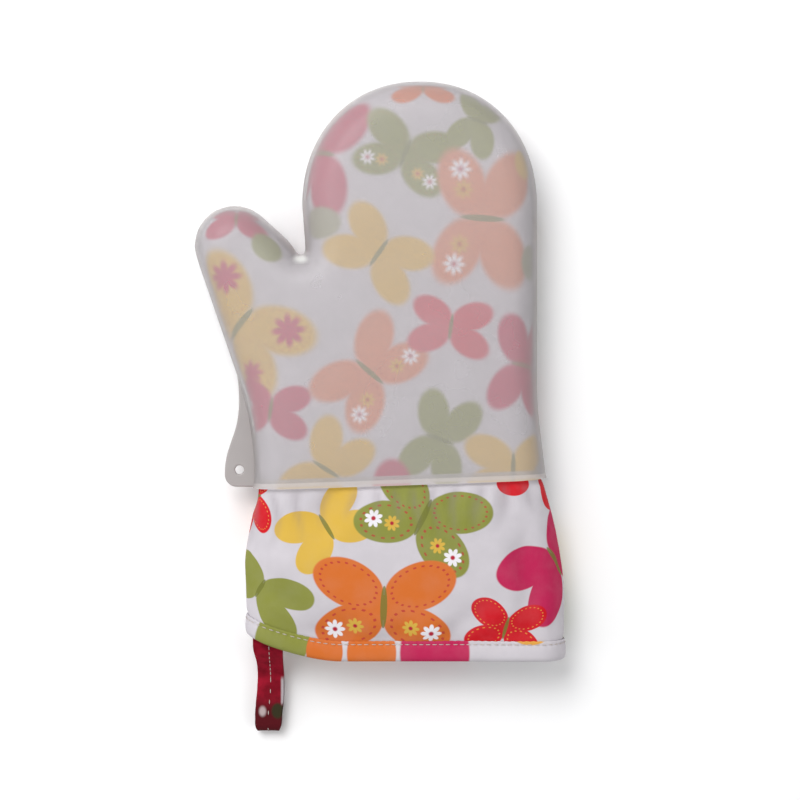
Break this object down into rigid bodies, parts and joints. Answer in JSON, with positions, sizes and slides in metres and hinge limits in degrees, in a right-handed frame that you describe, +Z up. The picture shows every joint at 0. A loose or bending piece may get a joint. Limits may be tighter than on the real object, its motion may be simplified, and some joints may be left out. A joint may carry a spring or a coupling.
{
  "type": "oven mitt",
  "caption": "Oven mitt with a frosted silicone hand and thumb over a padded, printed cotton liner, with a bound cuff and a hanging loop.",
  "frame": {"origin": "centre of the footprint of the mitt lying on its back, on the surface that it lies on", "axes": "+Y from the cuff to the fingertips, +X across the hand away from the thumb, +Z up through the thickness, away from the surface"},
  "size_m": [0.1938, 0.3383, 0.042],
  "materials": {
    "silicone": "frosted, satin",
    "adhesive": "satin",
    "printed_cotton": "plain weave, printed with butterflies",
    "wadding": "soft felted fibre",
    "lining_cotton": "plain weave",
    "loop_cotton": "plain weave, printed dark red",
    "thread": "twisted polyester"
  },
  "bodies": {
    "hand": {"silicone_shell_hand": "silicone", "rim_bond": "adhesive", "print_front_hand": "printed_cotton", "print_back_hand": "printed_cotton", "wadding_front_hand": "wadding", "wadding_back_hand": "wadding", "lining_front_hand": "lining_cotton", "lining_back_hand": "lining_cotton", "seam_thread_fingers": "thread", "seam_thread_wrist": "thread", "cuff_binding": "printed_cotton", "binding_top_thread": "thread", "binding_bobbin_thread": "thread"},
    "thumb": {"silicone_shell_thumb": "silicone", "print_front_thumb": "printed_cotton", "print_back_thumb": "printed_cotton", "wadding_front_thumb": "wadding", "wadding_back_thumb": "wadding", "lining_front_thumb": "lining_cotton", "lining_back_thumb": "lining_cotton", "seam_thread_thumb": "thread"},
    "loop": {"hanging_loop": "loop_cotton", "loop_topstitch": "thread"}
  },
  "joints": [
    {"name": "thumb_flex", "type": "hinge", "parent": "hand", "child": "thumb", "pos_m": [-0.0436, 0.07575, 0.042], "axis": [0.3807, 0.9247, 0], "range_deg": [0, 45], "stiffness_Nm_per_rad": 0.4},
    {"name": "loop_swing", "type": "hinge", "parent": "hand", "child": "loop", "pos_m": [-0.0582, -0.12233, 0.0226], "axis": [-1, 0, 0], "range_deg": [0, 75]}
  ]
}
